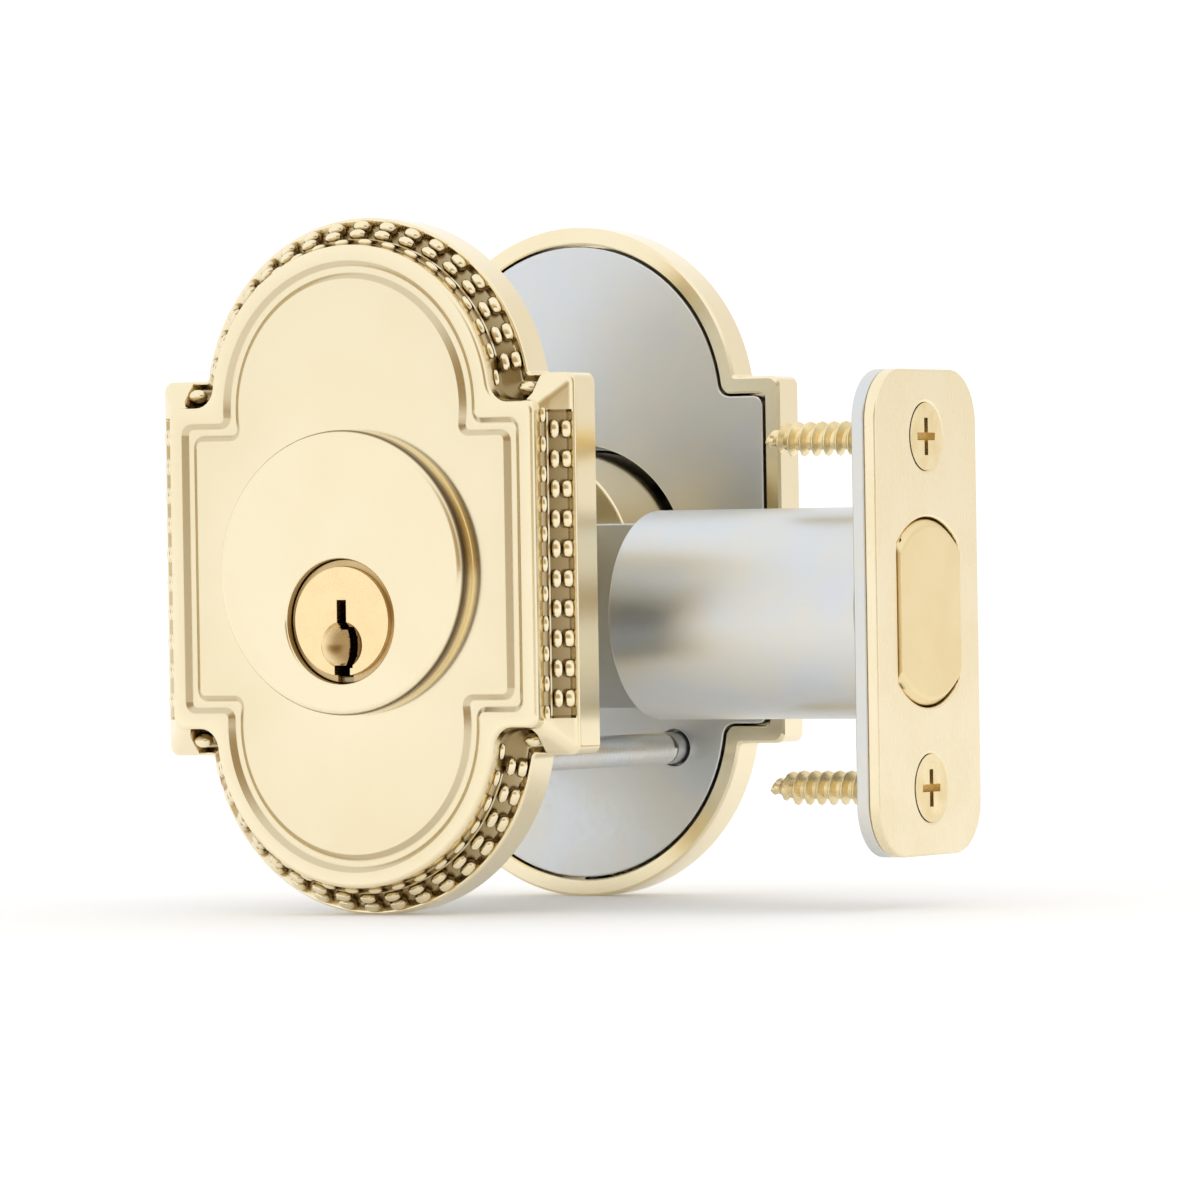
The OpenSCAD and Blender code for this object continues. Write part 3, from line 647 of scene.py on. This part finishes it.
def heads_of(node, neck, way):
    """A CAD fastener in mm, cut off at its neck with what lies along way removed, and closed there."""
    bm = bmesh.new()
    bm.from_mesh(frame["nodes"][node].data)
    bmesh.ops.transform(bm, matrix=Matrix.Scale(1 / MM, 4), verts=bm.verts)
    bmesh.ops.remove_doubles(bm, verts=bm.verts, dist=0.002)
    bmesh.ops.bisect_plane(bm, geom=bm.verts[:] + bm.edges[:] + bm.faces[:], plane_co=way * -neck,
                           plane_no=way, clear_outer=True)
    bmesh.ops.holes_fill(bm, edges=[e for e in bm.edges if e.is_boundary])
    return bm


def in_metres(bm):
    """A mesh made in mm, with its normals out and its edges smooth, in metres."""
    bmesh.ops.recalc_face_normals(bm, faces=bm.faces)
    bmesh.ops.transform(bm, matrix=Matrix.Scale(MM, 4), verts=bm.verts)
    smooth_shaded(bm, 40)
    return bm


neck_lap = 0.2                                     # overlap of a thread and the neck it starts from


def machine_screws():
    """The through-bolts: the CAD's heads on full-length helical threads."""
    low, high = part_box("through_bolts")
    head_len, head_r = 5.5, 3.7
    neck, tip = high.y / MM - head_len, low.y / MM
    gap, drop = (high.x - low.x) / 2 / MM - head_r, (low.z + high.z) / 2 / MM
    bm = heads_of("through_bolts", neck, Vector((0, -1, 0)))
    for side in (-1, 1):
        made = thread(bm, crest=1.95, core=1.58, pitch=0.8, length=neck - tip)
        turned = Matrix.Rotation(math.radians(-90), 4, "X")
        placed = Matrix.Translation((side * gap, neck + neck_lap, drop))
        bmesh.ops.transform(bm, matrix=placed @ turned, verts=made)
    return bm


piece_from("machine_screws", in_metres(machine_screws()), zinc_plate, "through_bolts")


# ---------- bolt ----------
# A solid brass bolt with flats, brushed along its length, that slides in a zinc-plated barrel behind a
# brass faceplate. A hardened rod lies loose inside it, and a slide with two cheeks is pinned to its rear.

def brushed_brass():
    """Brass brushed along x, a little rubbed where it slides."""
    brass = Finish("bolt_brass", Metallic=1)
    lines = brass.noise(0.22, 2, (30, 1, 1))
    cloud = brass.noise(8, 2).spread(0.3, 0.7)
    brass.feed(Base_Color=brass.blend(lines * 0.5 + cloud * 0.4, (0.92, 0.77, 0.47), (0.84, 0.67, 0.37)),
               Roughness=0.24 + 0.16 * lines + 0.04 * cloud)
    brass.bumps(lines, 0.003)
    return brass.material


def faceplate_brass():
    """Plated brass brushed along z under lacquer."""
    brass = Finish("faceplate_brass", Metallic=1, Coat_Weight=0.25, Coat_Roughness=0.15)
    lines = brass.noise(0.2, 2, (1, 1, 30))
    cloud = brass.noise(10, 2).spread(0.3, 0.7)
    brass.feed(Base_Color=brass.blend(cloud, (0.945, 0.835, 0.59), (0.92, 0.80, 0.54)),
               Roughness=0.2 + 0.1 * lines + 0.04 * cloud)
    brass.bumps(lines, 0.0015)
    return brass.material


bolt_brass = brushed_brass()
plate_brass = faceplate_brass()
eased("edge_faceplate", "faceplate", plate_brass, 0.3, 3)
eased("edge_back_plate", "back_plate", zinc_plate, 0.2)
eased("bolt_barrel", "barrel", zinc_plate, 0.25, 3)
eased("dead_bolt", "bolt", bolt_brass, 0.25, 3)
eased("saw_rod", "bolt_rod", steel, 0.2)
eased("fork_slide", "bolt_slide", zinc_plate, 0.15)
eased("fork_pins", "slide_pins", steel, 0.15)


# ---------- faceplate screws ----------
# Two brass-plated flat-head wood screws with a cross recess and a rolled thread down to a point. They hold
# the faceplate and its back plate in the door's edge.

def screw_brass():
    """Brass plate on steel, unevenly bright."""
    brass = Finish("brass_screw", Metallic=1)
    cloud = brass.noise(2.5, 3).spread(0.3, 0.7)
    brass.feed(Base_Color=brass.blend(cloud, (0.93, 0.79, 0.49), (0.85, 0.69, 0.38)),
               Roughness=0.24 + 0.08 * cloud)
    brass.bumps(brass.noise(0.4, 2), 0.002)
    return brass.material


def wood_screws():
    """The faceplate's screws: the CAD's heads on pointed helical threads."""
    low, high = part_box("faceplate_screws")
    head_len, head_r, point_gap = 5.8, 4, 0.4
    neck, tip, up = high.x / MM - head_len, low.x / MM, high.z / MM - head_r
    bm = heads_of("faceplate_screws", neck, Vector((-1, 0, 0)))
    for side in (-1, 1):
        made = thread(bm, crest=2.05, core=1.35, pitch=1.6, length=neck - tip - point_gap, taper=4.5)
        turned = Matrix.Rotation(math.radians(90), 4, "Y")
        placed = Matrix.Translation((neck + neck_lap, 0, side * up))
        bmesh.ops.transform(bm, matrix=placed @ turned, verts=made)
    return bm


piece_from("wood_screws", in_metres(wood_screws()), screw_brass(), "faceplate_screws")


# ---------- hub and case ----------
# A zinc-plated hub with a crank arm turns in nylon bushes in a folded steel channel, which a riveted cover
# closes. Its crank pin runs in the slide's slot, and a flat tailpiece from each plug fits in the hub.

def moulded_nylon():
    """Off-white nylon with the faint grain of its mould."""
    nylon = Finish("nylon", Roughness=0.45, Subsurface_Weight=0.15, Subsurface_Radius=(0.002, 0.0018, 0.0014))
    mottle = nylon.noise(3, 2).spread(0.3, 0.7)
    nylon.feed(Base_Color=nylon.blend(mottle, (0.86, 0.84, 0.76), (0.82, 0.79, 0.70)))
    nylon.bumps(nylon.noise(0.3, 3), 0.006)
    return nylon.material


eased("crank_hub", "hub", zinc_plate, 0.2)
eased("drive_pin", "crank_pin", steel, 0.2)
eased("bushes", "hub_bushes", moulded_nylon(), 0.12)
eased("outside_blade", "outside_tailpiece", zinc_plate, 0.15)
eased("inside_blade", "inside_tailpiece", zinc_plate, 0.15)
eased("case_bend", "case_channel", zinc_plate, 0.2)
eased("case_lid", "case_cover", zinc_plate, 0.2)
eased("rivets", "case_rivets", steel, 0.15)


# ---------- studio ----------
# White paper under the lock, a white tent all round with a warm, darker patch where the camera stands and a
# fainter one behind, and a long lens that sees the outside trim from its bolt side.

bpy.ops.mesh.primitive_plane_add(size=6, location=(0, 0, cad_low.z))
floor = bpy.context.object
floor.name = "floor"
paper = Finish("paper", Base_Color=(0.95, 0.95, 0.95), Roughness=0.9, Emission_Color=(1, 1, 1),
               Emission_Strength=0.12)
floor.data.materials.append(paper.material)


def direction(azimuth, elevation):
    """The way to something that stands round the object at an azimuth and elevation in degrees."""
    a, e = math.radians(azimuth), math.radians(elevation)
    return Vector((math.sin(a) * math.cos(e), -math.cos(a) * math.cos(e), math.sin(e)))


view_azimuth, view_elevation, roll, away = 30, 0.4, 0.9, 1.0
face_at, shift_right, shift_up = -33.0, 30.1, 2.5  # mm; the shifts bring the trim to the left of the frame
back = direction(view_azimuth, view_elevation)
turn = (-back).to_track_quat("-Z", "Y")
turn.rotate(Quaternion(back, math.radians(-roll)))
right, up = turn @ Vector((1, 0, 0)), turn @ Vector((0, 1, 0))
target = Vector((0, face_at, 0)) * MM + right * shift_right * MM + up * shift_up * MM
camera = bpy.data.objects.new("camera", bpy.data.cameras.new("camera"))
bpy.context.scene.collection.objects.link(camera)
camera.data.lens = 255
camera.data.clip_start = 0.05
camera.location = target + back * away
camera.rotation_mode = "QUATERNION"
camera.rotation_quaternion = turn
bpy.context.scene.camera = camera

world = bpy.data.worlds.new("studio")
bpy.context.scene.world = world
world.use_nodes = True
tent = Nodes(world.node_tree)
seen = tent.node("ShaderNodeTexCoord", {}, {}, "Generated")


def panel(azimuth, elevation, wide, narrow):
    """1 within narrow degrees of a direction, 0 beyond wide degrees."""
    facing = tent.node("ShaderNodeVectorMath", {"operation": "DOT_PRODUCT"}, {
        0: seen, 1: direction(azimuth, elevation)}, "Value")
    return facing.spread(math.cos(math.radians(wide)), math.cos(math.radians(narrow)))


white, warm_dark, backdrop = (1.03, 1.03, 1.03), (0.42, 0.29, 0.12), (1.1, 1.1, 1.1)
shade = tent.blend(panel(view_azimuth, 2, 44, 16) * 0.9, white, warm_dark)
shade = tent.blend(panel(150, 5, 50, 20) * 0.25, shade, warm_dark)
direct = tent.node("ShaderNodeLightPath", {}, {}, "Is Camera Ray")
tent_light = world.node_tree.nodes["Background"]
tent.join(tent_light.inputs["Color"], tent.blend(direct, shade, backdrop))
bpy.context.scene.view_settings.view_transform = "Standard"
